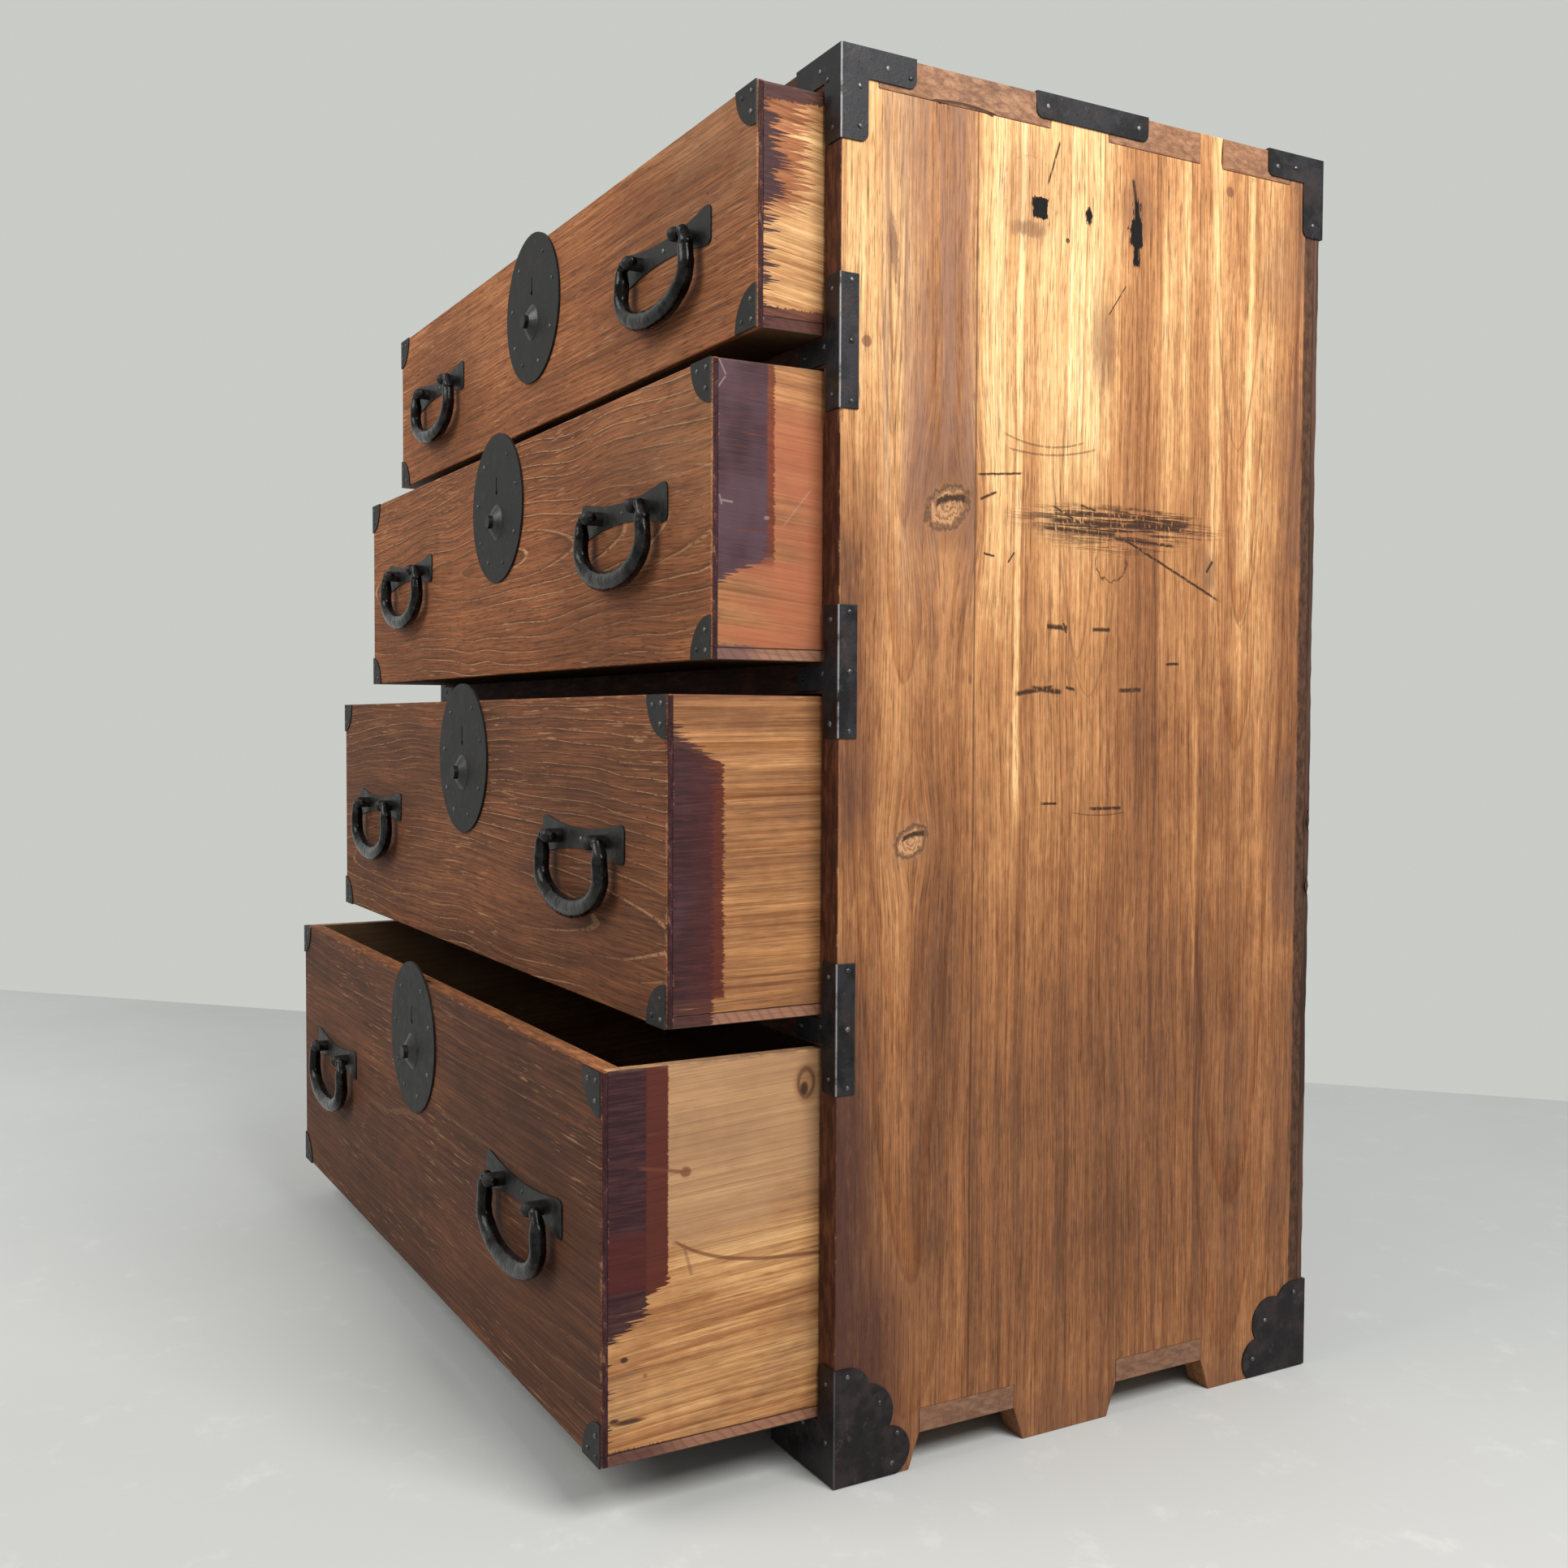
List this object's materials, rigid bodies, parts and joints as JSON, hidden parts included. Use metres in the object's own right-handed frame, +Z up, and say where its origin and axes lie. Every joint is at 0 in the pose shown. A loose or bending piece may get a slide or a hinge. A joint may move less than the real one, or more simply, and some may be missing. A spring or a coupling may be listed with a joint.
{
  "type": "four-drawer tansu chest",
  "caption": "Japanese clothes chest of plain boards on cut feet: stacked drawers with round lock plates, bail handles and sheet-iron corner and edge fittings.",
  "frame": {"origin": "centre of the carcass footprint, at floor level", "axes": "+Z up, front towards -Y, +X to the right seen from the front"},
  "size_m": [0.9146, 0.6463, 1.0007],
  "materials": {
    "carcass_wood": "worn, dry, fine straight grain",
    "back_wood": "rough sawn, darkened",
    "drawer_front_wood": "thin brown stain over raised grain",
    "drawer_wood": "bare, smoothed, darkened by handling",
    "sheet_iron": "blackened wrought sheet, worn at its bends",
    "lock_iron": "blackened wrought sheet, matt",
    "forged_iron": "forged, worn to a dull shine",
    "nail_iron": "forged heads, rubbed bright"
  },
  "bodies": {
    "carcass": {"side_board_right": "carcass_wood", "side_board_left": "carcass_wood", "top_board": "carcass_wood", "bottom_board": "carcass_wood", "shelf_upper": "carcass_wood", "shelf_middle": "carcass_wood", "shelf_lower": "carcass_wood", "back_panel": "back_wood", "front_foot_blocks": "carcass_wood", "case_corner_irons": "sheet_iron", "case_edge_irons": "sheet_iron", "case_nails": "nail_iron"},
    "drawer_1": {"drawer_1_front": "drawer_front_wood", "drawer_1_sides": "drawer_wood", "drawer_1_back": "drawer_wood", "drawer_1_bottom": "drawer_wood", "drawer_1_corner_irons": "sheet_iron", "drawer_1_lock": "lock_iron", "drawer_1_handle_mounts": "sheet_iron", "drawer_1_nails": "nail_iron"},
    "drawer_1_bolt": {"drawer_1_lock_bolt": "nail_iron"},
    "drawer_1_button": {"drawer_1_lock_button": "nail_iron"},
    "drawer_1_bail_right_body": {"drawer_1_bail_right": "forged_iron"},
    "drawer_1_bail_left_body": {"drawer_1_bail_left": "forged_iron"},
    "drawer_2": {"drawer_2_front": "drawer_front_wood", "drawer_2_sides": "drawer_wood", "drawer_2_back": "drawer_wood", "drawer_2_bottom": "drawer_wood", "drawer_2_corner_irons": "sheet_iron", "drawer_2_lock": "lock_iron", "drawer_2_handle_mounts": "sheet_iron", "drawer_2_nails": "nail_iron"},
    "drawer_2_bolt": {"drawer_2_lock_bolt": "nail_iron"},
    "drawer_2_button": {"drawer_2_lock_button": "nail_iron"},
    "drawer_2_bail_right_body": {"drawer_2_bail_right": "forged_iron"},
    "drawer_2_bail_left_body": {"drawer_2_bail_left": "forged_iron"},
    "drawer_3": {"drawer_3_front": "drawer_front_wood", "drawer_3_sides": "drawer_wood", "drawer_3_back": "drawer_wood", "drawer_3_bottom": "drawer_wood", "drawer_3_corner_irons": "sheet_iron", "drawer_3_lock": "lock_iron", "drawer_3_handle_mounts": "sheet_iron", "drawer_3_nails": "nail_iron"},
    "drawer_3_bolt": {"drawer_3_lock_bolt": "nail_iron"},
    "drawer_3_button": {"drawer_3_lock_button": "nail_iron"},
    "drawer_3_bail_right_body": {"drawer_3_bail_right": "forged_iron"},
    "drawer_3_bail_left_body": {"drawer_3_bail_left": "forged_iron"},
    "drawer_4": {"drawer_4_front": "drawer_front_wood", "drawer_4_sides": "drawer_wood", "drawer_4_back": "drawer_wood", "drawer_4_bottom": "drawer_wood", "drawer_4_corner_irons": "sheet_iron", "drawer_4_lock": "lock_iron", "drawer_4_handle_mounts": "sheet_iron", "drawer_4_nails": "nail_iron"},
    "drawer_4_bolt": {"drawer_4_lock_bolt": "nail_iron"},
    "drawer_4_button": {"drawer_4_lock_button": "nail_iron"},
    "drawer_4_bail_right_body": {"drawer_4_bail_right": "forged_iron"},
    "drawer_4_bail_left_body": {"drawer_4_bail_left": "forged_iron"}
  },
  "joints": [
    {"name": "drawer_1_slide", "type": "slide", "parent": "carcass", "child": "drawer_1", "axis": [0, -1, 0], "range_m": [-0.052, 0.298]},
    {"name": "drawer_1_bolt_lift", "type": "slide", "parent": "drawer_1", "child": "drawer_1_bolt", "axis": [0, 0, 1], "range_m": [0, 0.008]},
    {"name": "drawer_1_button_push", "type": "slide", "parent": "drawer_1", "child": "drawer_1_button", "axis": [0, 1, 0], "range_m": [0, 0.003], "stiffness_N_per_m": 300, "springref_m": -0.002},
    {"name": "drawer_1_bail_right_swing", "type": "hinge", "parent": "drawer_1", "child": "drawer_1_bail_right_body", "pos_m": [0.2835, -0.293, 0.8958], "axis": [-1, 0, 0], "range_deg": [-2, 100]},
    {"name": "drawer_1_bail_left_swing", "type": "hinge", "parent": "drawer_1", "child": "drawer_1_bail_left_body", "pos_m": [-0.2835, -0.293, 0.8958], "axis": [-1, 0, 0], "range_deg": [-2, 100]},
    {"name": "drawer_2_slide", "type": "slide", "parent": "carcass", "child": "drawer_2", "axis": [0, -1, 0], "range_m": [-0.086, 0.264]},
    {"name": "drawer_2_bolt_lift", "type": "slide", "parent": "drawer_2", "child": "drawer_2_bolt", "axis": [0, 0, 1], "range_m": [0, 0.008]},
    {"name": "drawer_2_button_push", "type": "slide", "parent": "drawer_2", "child": "drawer_2_button", "axis": [0, 1, 0], "range_m": [0, 0.003], "stiffness_N_per_m": 300, "springref_m": -0.002},
    {"name": "drawer_2_bail_right_swing", "type": "hinge", "parent": "drawer_2", "child": "drawer_2_bail_right_body", "pos_m": [0.2835, -0.327, 0.6958], "axis": [-1, 0, 0], "range_deg": [-2, 100]},
    {"name": "drawer_2_bail_left_swing", "type": "hinge", "parent": "drawer_2", "child": "drawer_2_bail_left_body", "pos_m": [-0.2835, -0.327, 0.6958], "axis": [-1, 0, 0], "range_deg": [-2, 100]},
    {"name": "drawer_3_slide", "type": "slide", "parent": "carcass", "child": "drawer_3", "axis": [0, -1, 0], "range_m": [-0.119, 0.231]},
    {"name": "drawer_3_bolt_lift", "type": "slide", "parent": "drawer_3", "child": "drawer_3_bolt", "axis": [0, 0, 1], "range_m": [0, 0.008]},
    {"name": "drawer_3_button_push", "type": "slide", "parent": "drawer_3", "child": "drawer_3_button", "axis": [0, 1, 0], "range_m": [0, 0.003], "stiffness_N_per_m": 300, "springref_m": -0.002},
    {"name": "drawer_3_bail_right_swing", "type": "hinge", "parent": "drawer_3", "child": "drawer_3_bail_right_body", "pos_m": [0.2835, -0.36, 0.4513], "axis": [-1, 0, 0], "range_deg": [-2, 100]},
    {"name": "drawer_3_bail_left_swing", "type": "hinge", "parent": "drawer_3", "child": "drawer_3_bail_left_body", "pos_m": [-0.2835, -0.36, 0.4513], "axis": [-1, 0, 0], "range_deg": [-2, 100]},
    {"name": "drawer_4_slide", "type": "slide", "parent": "carcass", "child": "drawer_4", "axis": [0, -1, 0], "range_m": [-0.166, 0.184]},
    {"name": "drawer_4_bolt_lift", "type": "slide", "parent": "drawer_4", "child": "drawer_4_bolt", "axis": [0, 0, 1], "range_m": [0, 0.008]},
    {"name": "drawer_4_button_push", "type": "slide", "parent": "drawer_4", "child": "drawer_4_button", "axis": [0, 1, 0], "range_m": [0, 0.003], "stiffness_N_per_m": 300, "springref_m": -0.002},
    {"name": "drawer_4_bail_right_swing", "type": "hinge", "parent": "drawer_4", "child": "drawer_4_bail_right_body", "pos_m": [0.2835, -0.407, 0.1903], "axis": [-1, 0, 0], "range_deg": [-2, 100]},
    {"name": "drawer_4_bail_left_swing", "type": "hinge", "parent": "drawer_4", "child": "drawer_4_bail_left_body", "pos_m": [-0.2835, -0.407, 0.1903], "axis": [-1, 0, 0], "range_deg": [-2, 100]}
  ]
}
